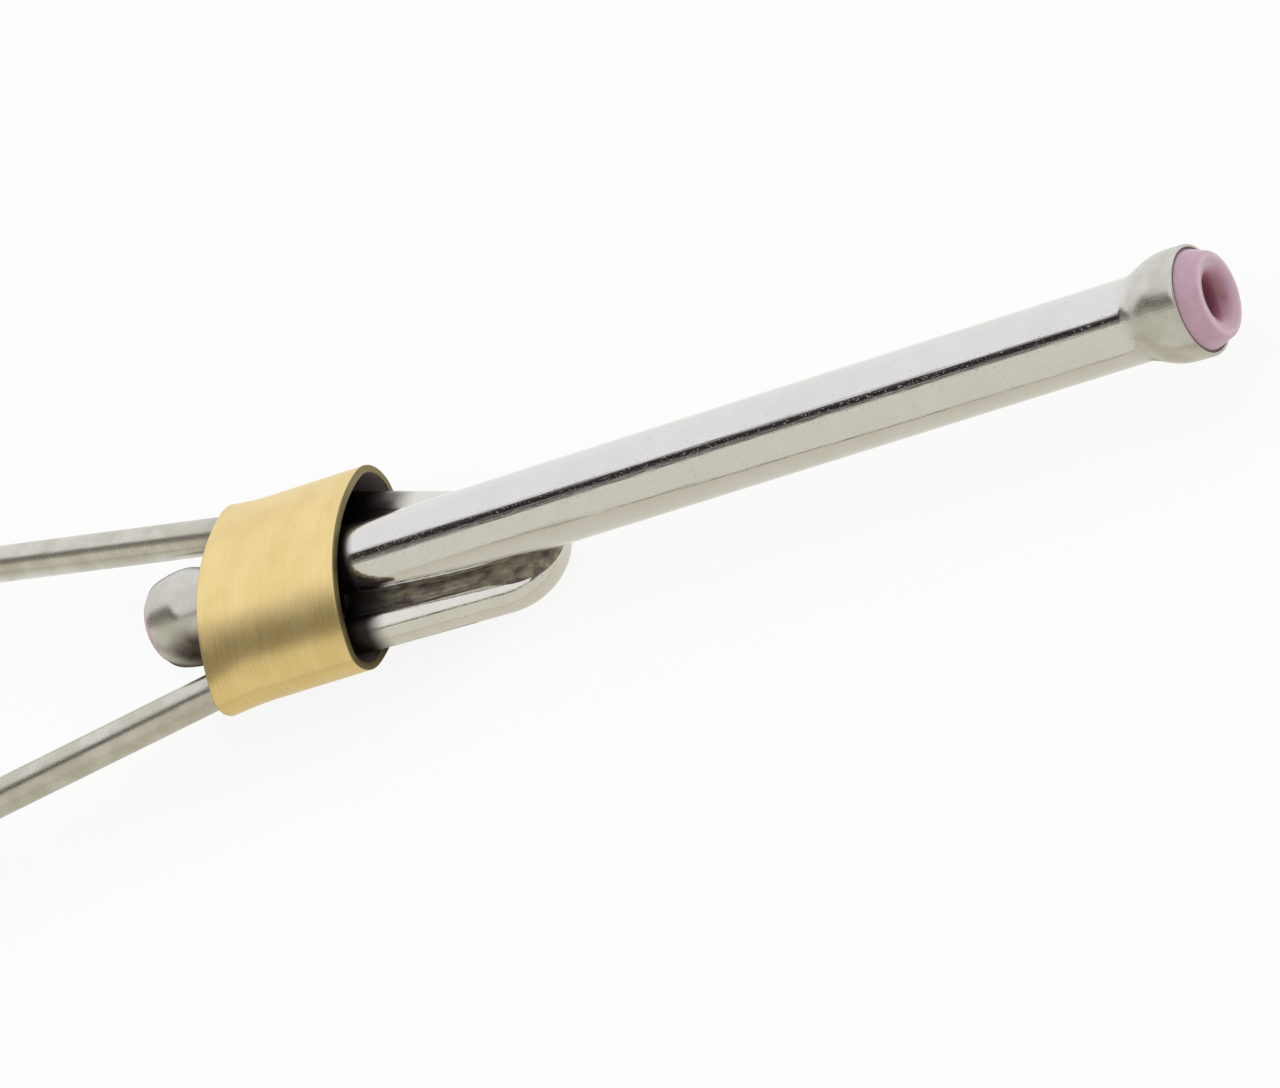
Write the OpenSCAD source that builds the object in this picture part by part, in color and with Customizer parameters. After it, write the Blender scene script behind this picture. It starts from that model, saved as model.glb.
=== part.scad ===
// Bobbin holder for fly tying: a flared thread tube with ceramic inserts, brazed into the bow
// of a bent spring wire whose two arms pass through an oval collar and end in ball feet.
// The origin is at the throat of the front insert, which the thread leaves along +X.
// The tube's axis is the X axis and +Z is up.

/* [Tube] */
// Outside diameter of the tube
tube_d = 3.5; // [3.3:0.05:3.6]
// Wall of the tube
tube_wall = 0.3; // [0.2:0.02:0.36]
// Length of the tube from rim to rim
tube_len = 50.8; // [50.6:0.2:60]
// Outside diameter of the front flare
front_flare_d = 4.6; // [4.5:0.02:4.8]
// Outside diameter of the rear flare
rear_flare_d = 4.1; // [4.0:0.02:4.3]
// Length of each flare at its full diameter
flare_len = 1.55; // [1.3:0.05:1.7]
// Length of the S-shaped shoulder behind each flare
shoulder_len = 1.35; // [1.1:0.05:1.4]

/* [Ceramic inserts] */
// Bore that the thread runs through
thread_bore_d = 1.5; // [1.2:0.05:1.8]
// Diameter of the circle where the front lip stands out furthest
front_crest_d = 3.2; // [3.1:0.05:3.4]
// Diameter of the circle where the rear lip stands out furthest
rear_crest_d = 2.9; // [2.7:0.05:3]
// How far the front lip stands out of the tube
front_lip_out = 0.85; // [0.8:0.01:0.95]
// How far the rear lip stands out of the tube
rear_lip_out = 0.5; // [0.45:0.01:0.6]
// Radius that rounds each lip outside its furthest circle
crest_round = 0.22; // [0.15:0.01:0.25]
// How far the slope outside that round runs into it
crest_lap = 0.002; // [0.001:0.001:0.005]
// Steel left around each insert at the rim
rim_wall = 0.15; // [0.12:0.01:0.18]
// Depth of the pocket that takes the insert's flange
pocket_len = 1.2; // [1:0.05:1.3]
// Length of the tapered seat between the flange and the shank
seat_len = 0.6; // [0.5:0.05:0.7]
// Length of the insert's shank inside the tube
shank_len = 1.6; // [1.2:0.1:2.4]
// Cement film around the inserts
cement_gap = 0.02; // [0.01:0.005:0.04]
// Lead-in chamfer at the inner end of each insert
lead_in = 0.3; // [0.2:0.05:0.4]

/* [Spring wire] */
// Wire diameter
wire_d = 1.6; // [1.5:0.05:1.65]
// Bend radius of the bow, to the middle of the wire
bow_r = 2.1; // [2:0.05:2.2]
// Length of the dipping part, from the end of the level legs to the tip of the bow
bow_reach = 10.1; // [9.6:0.1:10.6]
// Distance from the rear rim forward to the tip of the bow, to the middle of the wire
bow_ahead = 17.75; // [17.7:0.05:18.2]
// Angle that each dipping leg makes with the middle plane
leg_angle = 8.5; // [8:0.25:9]
// Bend radius of the knees inside the collar, to the middle of the wire
knee_r = 3; // [2.5:0.25:4]
// How much the radius of the wire swells at its bends
bend_swell = 0.006; // [0.006:0.001:0.02]
// Brazing gap between the bow and the underside of the tube
braze_gap = 0.05; // [0.03:0.01:0.1]
// How far the level legs lie below the tube's axis
leg_drop = 0.28; // [0.22:0.02:0.34]

/* [Braze] */
// Half the thickness of the braze web beside the tube
web_r = 0.5; // [0.3:0.05:0.6]
// How far the web stands above the middle of the leg
web_rise = 0.2; // [0:0.05:0.25]
// How far in front of the collar the web starts
web_start = 0.9; // [0.8:0.1:1.5]

/* [Collar] */
// Length of the collar along the tube
collar_len = 7.15; // [6.8:0.05:7.2]
// Width of the collar across both legs
collar_w = 9.8; // [9.7:0.05:10.2]
// Height of the collar over the tube
collar_h = 4.95; // [4.9:0.05:5.2]
// Outside radius of the collar's tight ends
collar_end_r = 1.62; // [1.5:0.02:1.7]
// Wall of the collar
collar_wall = 0.4; // [0.35:0.01:0.4]
// Distance from the rear rim forward to the collar's rear mouth
collar_ahead = 2.82; // [2.75:0.01:2.85]
// Clearance between the collar's inside and the legs
collar_gap = 0.03; // [0.02:0.01:0.1]

/* [Arms] */
// Angle that each arm leaves the collar at
splay_angle = 10.5; // [9:0.5:11]
// Straight length of the arm behind the collar
arm_root_len = 14; // [12:0.5:18]
// Radius of the gentle outward sweep
sweep_r = 80; // [60:5:120]
// Angle of the arm behind the sweep
spread_angle = 17; // [15:0.5:18]
// Straight length of the arm behind the sweep
arm_end_len = 25; // [22:0.5:28]
// Bend radius of the hook at the arm's end, to the middle of the wire
hook_r = 2.4; // [2:0.1:3]
// Distance from the collar's rear mouth back to the point that the arm flexes about
flex_back = 0.12; // [0.1:0.01:0.3]
// Gap in the ball-and-cup split at the flexing point
cup_gap = 0.02; // [0.01:0.005:0.03]
// Width of the flat lip around the cup
cup_lip = 0.12; // [0.1:0.01:0.15]

/* [Feet] */
// Diameter of the ball feet
foot_d = 6.2; // [5.4:0.1:6.6]
// Diameter of the boss around the wire
boss_d = 2.9; // [2.6:0.1:3.4]
// How far the boss stands out of the ball
boss_len = 0.5; // [0.3:0.1:0.8]
// Depth that the wire goes into the foot
foot_socket = 3.6; // [3:0.1:4]

/* [Hidden] */
$fn = 96;
web_fn = 24;

// One overrun serves all cuts
over = wire_d;

// Tube
tube_r = tube_d / 2;
bore_r = tube_r - tube_wall;
front_rim = (front_crest_d - thread_bore_d) / 2 - front_lip_out;
rear_rim = front_rim - tube_len;

// Wire
wire_r = wire_d / 2;
bend_wire_r = wire_r + bend_swell;
lap = sqrt(bend_swell * bow_r);
bow_depth = tube_r + wire_r + braze_gap;
bow_tilt = asin((bow_depth - leg_drop) / bow_reach);
bow_tip_x = rear_rim + bow_ahead;
knee_x = bow_tip_x - bow_reach * cos(bow_tilt);
bow_centre = bow_reach - bow_r;
knee_y = (bow_r + bow_centre * sin(leg_angle)) / cos(leg_angle);
leg_end = bow_centre + bow_r * sin(leg_angle);

// Collar
collar_rear = rear_rim + collar_ahead;
collar_front = collar_rear + collar_len;

// Arm, for the side of +Y, as points and centres in the level plane of the legs
flex_x = collar_rear - flex_back;
flex_y = collar_w / 2 - collar_wall - wire_r - collar_gap;
function ahead(h) = [-cos(h), sin(h)];
function aside(h) = [sin(h), cos(h)];
flex_point = [flex_x, flex_y];
root_end = flex_point + arm_root_len * ahead(splay_angle);
sweep_centre = root_end + sweep_r * aside(splay_angle);
sweep_end = sweep_centre - sweep_r * aside(spread_angle);
hook_start = sweep_end + arm_end_len * ahead(spread_angle);
hook_centre = hook_start - hook_r * aside(spread_angle);
hook_end = hook_centre - [hook_r, 0];
foot_r = foot_d / 2;
foot_y = hook_end.y - boss_len - foot_r;

// Knee of the +Y leg: its corner, the ways to the bow and to the arm, and the bend between them
knee = [knee_x, knee_y, -leg_drop];
leg_tip = [flex_x, flex_y, -leg_drop];
to_bow = [cos(leg_angle) * cos(bow_tilt), -sin(leg_angle), -cos(leg_angle) * sin(bow_tilt)];
to_arm = unit(leg_tip - knee);
knee_turn = acos(-to_bow * to_arm);
knee_cut = knee_r * tan(knee_turn / 2);
knee_centre = knee + knee_r / cos(knee_turn / 2) * unit(to_bow + to_arm);
function unit(v) = v / norm(v);

// Flat end of the leg, where its cup opens towards the arm's ball
cup_r = wire_r + cup_gap;
cup_face = sqrt(cup_r * cup_r - (wire_r - cup_lip) * (wire_r - cup_lip));

// Stands its children, made along +Z from height zero, on point p and turns them towards point q
module aimed(p, q) {
    d = q - p;
    translate(p)
        rotate([0, acos(d.z / norm(d)), atan2(d.y, d.x)])
            children();
}

// A round rod from point p to point q, made longer by a lead before p and a tail past q
module rod(p, q, r, lead = 0, tail = 0) {
    aimed(p, q)
        translate([0, 0, -lead])
            cylinder(h = norm(q - p) + lead + tail, r = r);
}

// A round rod that starts with half a ball around point p and runs on past point q by a tail
module ball_rod(p, q, r, tail = 0) {
    aimed(p, q)
        rotate_extrude() {
            square([r, norm(q - p) + tail]);
            intersection() {
                circle(r);
                translate([0, -r])
                    square([r, 2 * r]);
            }
        }
}

// Part of a ring in the plane of X and Y
module ring_part(ring_r, r, from, sweep) {
    rotate([0, 0, from])
        rotate_extrude(angle = sweep)
            translate([ring_r, 0])
                circle(r);
}

// Outline of an S-shaped shoulder that widens from r_low to r_high over a length, starting at height zero
module shoulder_outline(r_low, r_high, len) {
    step = r_high - r_low;
    arc_r = (step * step + len * len) / (4 * step);
    square([r_low, len]);
    difference() {
        square([r_low + step / 2, len / 2]);
        translate([r_low + arc_r, 0])
            circle(arc_r);
    }
    translate([0, len / 2])
        square([r_low + step / 2, len / 2]);
    intersection() {
        translate([0, len / 2])
            square([r_high, len / 2]);
        translate([r_high - arc_r, len])
            circle(arc_r);
    }
}

// One end of the tube, from its rim at height zero down to its middle
module half_tube(flare_d, length) {
    flare_r = flare_d / 2;
    pocket_r = flare_r - rim_wall;
    rotate_extrude()
        difference() {
            union() {
                translate([0, -flare_len])
                    square([flare_r, flare_len]);
                translate([0, -flare_len - shoulder_len])
                    shoulder_outline(tube_r, flare_r, shoulder_len);
                translate([0, -length])
                    square([tube_r, length - flare_len]);
            }
            translate([0, -length - over])
                square([bore_r, length + 2 * over]);
            translate([0, -pocket_len])
                square([pocket_r, pocket_len + over]);
            polygon([[0, -pocket_len], [pocket_r, -pocket_len],
                     [bore_r, -pocket_len - seat_len], [0, -pocket_len - seat_len]]);
        }
}

// A ceramic insert, its flange in the pocket below height zero. The lip above it slopes in to a
// rounded crest and curves down into the bore.
module insert(flare_d, crest_d, lip_out) {
    flange_r = flare_d / 2 - rim_wall - cement_gap;
    shank_r = bore_r - cement_gap;
    hole_r = thread_bore_d / 2;
    crest_r = crest_d / 2;
    inner_arc = crest_r - hole_r;
    edge = [flange_r, 0];
    crest = [crest_r, lip_out - crest_round];
    slope = crest - edge;
    lap_r = crest_round - crest_lap;
    slope_turn = atan2(slope.y, slope.x) - asin(lap_r / norm(slope));
    touch = edge + sqrt(slope * slope - lap_r * lap_r) * [cos(slope_turn), sin(slope_turn)];
    flange_back = cement_gap - pocket_len;
    seat_back = flange_back - seat_len;
    shank_back = seat_back - shank_len;
    rotate_extrude()
        difference() {
            union() {
                polygon([[0, shank_back], [shank_r, shank_back], [shank_r, seat_back],
                         [flange_r, flange_back], edge, touch, crest, [crest_r, lip_out],
                         [0, lip_out]]);
                translate(crest)
                    circle(crest_round);
            }
            translate([0, shank_back - over])
                square([hole_r, lip_out - shank_back + 2 * over]);
            difference() {
                translate([0, lip_out - inner_arc])
                    square([crest_r, inner_arc + over]);
                translate([crest_r, lip_out - inner_arc])
                    circle(inner_arc);
            }
            polygon([[0, shank_back - over], [hole_r + lead_in + over, shank_back - over],
                     [hole_r, shank_back + lead_in], [0, shank_back + lead_in]]);
        }
}

// An oval of two broad arcs and two tight ends, half_w wide and half_h high from its centre
module oval(half_w, half_h, end_r) {
    end_y = half_w - end_r;
    broad_r = (end_y * end_y + half_h * half_h - end_r * end_r) / (2 * (half_h - end_r));
    meet = end_y * broad_r / (broad_r - end_r);
    intersection() {
        translate([0, half_h - broad_r])
            circle(broad_r);
        translate([0, broad_r - half_h])
            circle(broad_r);
        translate([-meet, -half_h])
            square([2 * meet, 2 * half_h]);
    }
    for (side = [-1, 1])
        translate([side * end_y, 0])
            circle(end_r);
}

// The bend of the bow, in the plane that dips from the knees to its tip
module bow_bend() {
    translate([knee_x, 0, -leg_drop])
        rotate([0, bow_tilt, 0])
            translate([bow_centre, 0, 0])
                ring_part(bow_r, bend_wire_r, leg_angle - 90, 180 - 2 * leg_angle);
}

// The +Y leg from the end of the bow's bend through the knee to the cup for the arm's ball
module leg_wire() {
    knee_start = knee + knee_cut * to_bow;
    out = unit(knee_start - knee_centre);
    up = cross(out, -to_bow);
    difference() {
        union() {
            rod(leg_point(leg_end), knee_start, wire_r, lead = lap, tail = lap);
            multmatrix([for (i = [0:2]) [out[i], -to_bow[i], up[i], knee_centre[i]]])
                ring_part(knee_r, bend_wire_r, 0, knee_turn);
            rod(knee + knee_cut * to_arm, leg_tip - cup_face * to_arm, wire_r, lead = lap);
        }
        translate(leg_tip)
            sphere(cup_r);
    }
}

// A point on the middle of the +Y leg, a distance along the dip from the knee
function leg_point(along) = [
    knee_x + along * cos(bow_tilt),
    knee_y - along * tan(leg_angle),
    -leg_drop - along * sin(bow_tilt)
];
// The point on the tube's flank that the web reaches from there
function flank_point(p) = [p.x, p.y, p.z] + (tube_r - web_r - norm([p.y, p.z])) *
    [0, p.y, p.z] / norm([p.y, p.z]);
web_from = (collar_front + web_start - knee_x) / cos(bow_tilt);
web_lift = [0, 0, web_rise];

// The braze that fills the slit between the tube and the +Y leg
module braze_web() {
    a = leg_point(web_from);
    b = leg_point(leg_end);
    difference() {
        hull() {
            rod(a + web_lift, b + web_lift, web_r, $fn = web_fn);
            rod(flank_point(a), flank_point(b), web_r, $fn = web_fn);
        }
        rod([rear_rim, 0, 0], [front_rim, 0, 0], tube_r);
        rod(leg_point(0), leg_point(bow_reach), wire_r);
    }
}

// The +Y arm, with the ball end that it flexes on
module arm() {
    translate([0, 0, -leg_drop]) {
        ball_rod([each flex_point, 0], [each root_end, 0], wire_r, tail = lap);
        translate(sweep_centre)
            ring_part(sweep_r, bend_wire_r, 270 - spread_angle, spread_angle - splay_angle);
        rod([each sweep_end, 0], [each hook_start, 0], wire_r, lead = lap, tail = lap);
        translate(hook_centre)
            ring_part(hook_r, bend_wire_r, 90 - spread_angle, 90 + spread_angle);
        rod([each hook_end, 0], [each hook_end, 0] - [0, foot_socket, 0], wire_r, lead = lap);
    }
}

// The +Y foot, a ball with a boss around the wire
module foot() {
    translate([hook_end.x, foot_y, -leg_drop])
        rotate([-90, 0, 0])
            difference() {
                union() {
                    sphere(foot_r);
                    cylinder(h = foot_r + boss_len, d = boss_d);
                }
                translate([0, 0, foot_r + boss_len - foot_socket])
                    cylinder(h = foot_socket + over, r = wire_r);
            }
}

module barrel_tube() {
    color("silver")
        rotate([0, 90, 0]) {
            translate([0, 0, front_rim])
                half_tube(front_flare_d, tube_len / 2);
            translate([0, 0, rear_rim])
                mirror([0, 0, 1])
                    half_tube(rear_flare_d, tube_len / 2);
        }
}

module front_insert() {
    color("thistle")
        translate([front_rim, 0, 0])
            rotate([0, 90, 0])
                insert(front_flare_d, front_crest_d, front_lip_out);
}

module rear_insert() {
    color("thistle")
        translate([rear_rim, 0, 0])
            rotate([0, -90, 0])
                insert(rear_flare_d, rear_crest_d, rear_lip_out);
}

module wire_bow() {
    color("lightgray") {
        bow_bend();
        leg_wire();
        mirror([0, 1, 0])
            leg_wire();
    }
}

module braze_left() {
    color("dimgray")
        braze_web();
}

module braze_right() {
    color("dimgray")
        mirror([0, 1, 0])
            braze_web();
}

module braze_bow() {
    color("dimgray")
        difference() {
            translate([bow_tip_x, 0, -bow_depth])
                cylinder(h = bow_depth - tube_r / 2, r = wire_r - braze_gap);
            rod([rear_rim, 0, 0], [front_rim, 0, 0], tube_r);
            bow_bend();
        }
}

module collar() {
    color("gold")
        translate([collar_rear, 0, -leg_drop])
            rotate([90, 0, 90])
                linear_extrude(collar_len)
                    difference() {
                        oval(collar_w / 2, collar_h / 2, collar_end_r);
                        oval(collar_w / 2 - collar_wall, collar_h / 2 - collar_wall,
                             collar_end_r - collar_wall);
                    }
}

module left_arm() {
    color("lightgray")
        arm();
}

module right_arm() {
    color("lightgray")
        mirror([0, 1, 0])
            arm();
}

module left_foot() {
    color("goldenrod")
        foot();
}

module right_foot() {
    color("goldenrod")
        mirror([0, 1, 0])
            foot();
}

barrel_tube();
front_insert();
rear_insert();
wire_bow();
braze_left();
braze_right();
braze_bow();
collar();
left_arm();
right_arm();
left_foot();
right_foot();
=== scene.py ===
# %% [markdown]
# # A bobbin holder for fly tying
# The tool holds a spool of thread between two sprung wire arms and leads the thread out through a
# thin steel tube. Its looks come from four bright metals and a pink ceramic, so this lesson spends
# its effort on three things: clean turned and bent shapes, metals with the small marks of how they
# were made, and a studio for them to reflect.
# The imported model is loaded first, because every piece below takes its place from it.

# %% Load the frame
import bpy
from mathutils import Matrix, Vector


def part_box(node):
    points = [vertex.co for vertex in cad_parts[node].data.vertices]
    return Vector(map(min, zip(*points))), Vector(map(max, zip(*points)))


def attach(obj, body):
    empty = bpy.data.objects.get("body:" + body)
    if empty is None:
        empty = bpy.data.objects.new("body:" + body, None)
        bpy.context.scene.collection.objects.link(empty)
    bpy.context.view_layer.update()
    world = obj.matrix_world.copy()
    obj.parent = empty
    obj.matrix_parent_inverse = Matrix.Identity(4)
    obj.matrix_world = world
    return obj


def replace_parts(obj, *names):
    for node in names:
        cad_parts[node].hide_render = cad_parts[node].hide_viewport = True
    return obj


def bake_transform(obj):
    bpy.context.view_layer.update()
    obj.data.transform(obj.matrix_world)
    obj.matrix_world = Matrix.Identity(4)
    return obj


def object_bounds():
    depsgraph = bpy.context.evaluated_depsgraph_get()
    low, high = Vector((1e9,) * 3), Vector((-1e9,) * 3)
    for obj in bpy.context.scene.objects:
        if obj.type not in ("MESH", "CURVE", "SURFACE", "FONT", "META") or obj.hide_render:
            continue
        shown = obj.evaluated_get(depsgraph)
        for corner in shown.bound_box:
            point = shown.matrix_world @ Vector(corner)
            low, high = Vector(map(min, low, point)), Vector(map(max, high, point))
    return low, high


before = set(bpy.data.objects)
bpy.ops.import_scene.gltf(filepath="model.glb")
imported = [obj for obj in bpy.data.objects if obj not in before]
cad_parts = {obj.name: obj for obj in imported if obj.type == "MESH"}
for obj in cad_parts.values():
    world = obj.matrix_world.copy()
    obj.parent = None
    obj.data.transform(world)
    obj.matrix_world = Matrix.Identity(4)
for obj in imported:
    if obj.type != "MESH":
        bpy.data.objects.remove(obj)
cad_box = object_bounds()
print("CAD box in m:", [tuple(round(v, 5) for v in end) for end in cad_box])

# %% [markdown]
# ## Units and measured places
# Blender works in metres and this tool is 102 mm long, so all shapes are drawn in millimetres and
# made smaller at one place, when a mesh is built. The ends of the main pieces are read from the
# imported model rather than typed, so they can't drift apart from it.

# %% Units and places
import math

import bmesh
import bpy
from mathutils import Matrix, Vector, noise

MM = 0.001      # one millimetre in metres


def reach(node):
    """The lowest and highest corner of a CAD node, in mm."""
    low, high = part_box(node)
    return Vector(low) / MM, Vector(high) / MM


rear_rim, front_rim = (end.x for end in reach("barrel_tube"))
collar_rear, collar_front = (end.x for end in reach("collar"))
tube_r, bore_r = 1.75, 1.45      # outside and inside radius of the tube
wire_r = 0.8                     # radius of the wire
leg_drop = 0.28                  # how far the level legs lie below the tube's axis
print(f"tube {rear_rim:.2f} to {front_rim:.2f} mm")
print(f"collar {collar_rear:.2f} to {collar_front:.2f} mm")

# %% [markdown]
# ## Three ways to make a shape
# Everything on this tool is either turned on a lathe, drawn as wire, or bent from strip. All three
# can be made by joining rings of points: a lathe makes circles about an axis, a wire carries one
# circle along a path, and a strip carries its own outline. So there is one function that skins
# rings, and the others only place the points.

# %% Skin rings of points into one mesh
def skin(name, rings, closed=False, finish_of=None):
    """Joins equally long rings of points in mm. closed joins the last ring to the first one."""
    build = bmesh.new()
    rows = [[build.verts.new(Vector(point) * MM) for point in ring] for ring in rings]
    pairs = list(zip(rows, rows[1:])) + ([(rows[-1], rows[0])] if closed else [])
    for step, (one, two) in enumerate(pairs):
        for i in range(len(one)):
            j = (i + 1) % len(one)
            face = build.faces.new((one[i], one[j], two[j], two[i]))
            face.material_index = finish_of(step) if finish_of else 0
    if not closed:
        build.faces.new(rows[0])
        build.faces.new(rows[-1])
    for face in build.faces:
        face.smooth = True
    bmesh.ops.recalc_face_normals(build, faces=build.faces)
    mesh = bpy.data.meshes.new(name)
    build.to_mesh(mesh)
    build.free()
    piece = bpy.data.objects.new(name, mesh)
    bpy.context.collection.objects.link(piece)
    print(f"{name}: {len(mesh.vertices)} points, {len(mesh.polygons)} faces")
    return piece


# %% Turn an outline on a lathe
def turned(name, outline, closed=False, around=128, place=Matrix(), dent=None):
    """Turns (along, radius) points about the X axis, then moves the result by the matrix place."""
    rings = []
    for along, radius in outline:
        ring = []
        for i in range(around):
            angle = 2 * math.pi * i / around
            point = Vector((along, radius * math.cos(angle), radius * math.sin(angle)))
            if dent:
                point += dent(point) * Vector((0, math.cos(angle), math.sin(angle)))
            ring.append(place @ point)
        rings.append(ring)
    return skin(name, rings, closed)


def corner(along, radius, size, start, end, count=6):
    """Points of a small arc about (along, radius), from one angle to another in degrees."""
    angles = [math.radians(start + (end - start) * i / count) for i in range(count + 1)]
    return [(along + size * math.cos(a), radius + size * math.sin(a)) for a in angles]


# %% Carry a circle along a bent path
def bent(corners, radii, step):
    """A path of straight runs through corners, with an arc of its own bend radius at each one."""
    path = [Vector(corners[0])]
    for before, here, after, radius in zip(corners, corners[1:], corners[2:], radii):
        here = Vector(here)
        back = (Vector(before) - here).normalized()
        on = (Vector(after) - here).normalized()
        turn = math.pi - back.angle(on)
        cut = radius * math.tan(turn / 2)
        centre = here + (back + on).normalized() * radius / math.cos(turn / 2)
        arm = here + back * cut - centre
        axis = arm.cross(-back).normalized()
        count = max(6, round(radius * turn / step))
        path += [centre + Matrix.Rotation(turn * i / count, 3, axis) @ arm
                 for i in range(count + 1)]
    return path + [Vector(corners[-1])]


def spaced(path, step):
    """The same path with its long straight runs divided."""
    out = [path[0]]
    for a, b in zip(path, path[1:]):
        count = max(1, math.ceil((b - a).length / step))
        out += [a.lerp(b, i / count) for i in range(1, count + 1)]
    return out


def drawn_wire(name, path, around=56):
    """Draws a round wire along a path, carrying its cross-section without twist."""
    rings = []
    side = Vector((0, 0, 1))
    for i, point in enumerate(path):
        way = (path[min(i + 1, len(path) - 1)] - path[max(i - 1, 0)]).normalized()
        side = (side - side.dot(way) * way).normalized()
        other = way.cross(side)
        rings.append([point + wire_r * (math.cos(a) * side + math.sin(a) * other)
                      for a in (2 * math.pi * k / around for k in range(around))])
    return skin(name, rings)


# %% [markdown]
# ## Colours and nodes
# A colour picked from a screen is an sRGB hex value, but Cycles calculates in linear light, so one
# function converts it. A second one adds a shader node: its options go in as keywords and its
# inputs as a table that holds either a value or another node's output. The short ones after it
# name the steps that come back in every finish: arithmetic, a ramp from one value to another, a
# blend of two colours, a cloudy pattern, a stretched pattern and a relief.

# %% Colour and node helpers
def linear(hex_colour):
    """An sRGB colour such as '#c9a13b' as linear red, green, blue and alpha."""
    values = [int(hex_colour[i:i + 2], 16) / 255 for i in (1, 3, 5)]
    return [v / 12.92 if v <= 0.04045 else ((v + 0.055) / 1.055) ** 2.4 for v in values] + [1.0]


def add(tree, kind, inputs=None, **settings):
    """Adds one node with its settings, and fills its inputs with values or with outputs."""
    made = tree.nodes.new(kind)
    for name, value in settings.items():
        setattr(made, name, value)
    for place, value in (inputs or {}).items():
        if isinstance(value, bpy.types.NodeSocket):
            tree.links.new(value, made.inputs[place])
        else:
            made.inputs[place].default_value = value
    return made


def maths(tree, operation, *values, **settings):
    """The result of one step of arithmetic on numbers or outputs."""
    made = add(tree, "ShaderNodeMath", dict(enumerate(values)), operation=operation, **settings)
    return made.outputs[0]


def greatest(tree, values):
    """The greatest of one or more outputs."""
    result = values[0]
    for value in values[1:]:
        result = maths(tree, "MAXIMUM", result, value)
    return result


def ramp(tree, value, start, end, low=0.0, high=1.0, soft=False):
    """Runs from low, where value is start, to high, where it is end, and stays level beyond."""
    made = add(tree, "ShaderNodeMapRange",
               {"Value": value, "From Min": start, "From Max": end, "To Min": low, "To Max": high},
               interpolation_type="SMOOTHSTEP" if soft else "LINEAR")
    return made.outputs[0]


def mixed(tree, share, first, second):
    """A blend of two colours, each given as hex or as an output."""
    first, second = (linear(c) if isinstance(c, str) else c for c in (first, second))
    made = add(tree, "ShaderNodeMix", {"Factor": share, 6: first, 7: second}, data_type="RGBA")
    return made.outputs[2]


def cloud(tree, where, scale, detail, roughness=0.5):
    """A cloudy pattern from 0 to 1, with about scale spots to the millimetre."""
    made = add(tree, "ShaderNodeTexNoise",
               {"Vector": where, "Scale": scale, "Detail": detail, "Roughness": roughness})
    return made.outputs["Fac"]


def stretched(tree, where, factors):
    """The same place with its X, Y and Z multiplied. A factor below 1 draws a pattern out."""
    made = add(tree, "ShaderNodeVectorMath", {0: where, 1: factors}, operation="MULTIPLY")
    return made.outputs[0]


def off_axis(tree, where):
    """The distance from the tube's axis in mm."""
    across = stretched(tree, where, (0, 1, 1))
    made = add(tree, "ShaderNodeVectorMath", {0: across}, operation="LENGTH")
    return made.outputs["Value"]


def relief(tree, height, strength, depth, below=None, **settings):
    """Tilts the surface by a pattern that is depth mm deep, on top of the relief below it."""
    inputs = {"Height": height, "Strength": strength, "Distance": depth * MM}
    if below is not None:
        inputs["Normal"] = below
    return add(tree, "ShaderNodeBump", inputs, **settings).outputs[0]


def new_finish(name):
    """An empty material, its node tree, and the place of each point on the piece in mm."""
    material = bpy.data.materials.new(name)
    material.use_nodes = True
    tree = material.node_tree
    tree.nodes.clear()
    where = add(tree, "ShaderNodeTexCoord").outputs["Object"]
    in_mm = add(tree, "ShaderNodeVectorMath", {0: where, "Scale": 1 / MM}, operation="SCALE")
    return material, tree, in_mm.outputs[0]


def finished(material, tree, inputs):
    """Closes a material with one Principled shader."""
    shader = add(tree, "ShaderNodeBsdfPrincipled", inputs)
    add(tree, "ShaderNodeOutputMaterial", {"Surface": shader.outputs[0]})
    print("finish:", material.name)
    return material
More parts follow.
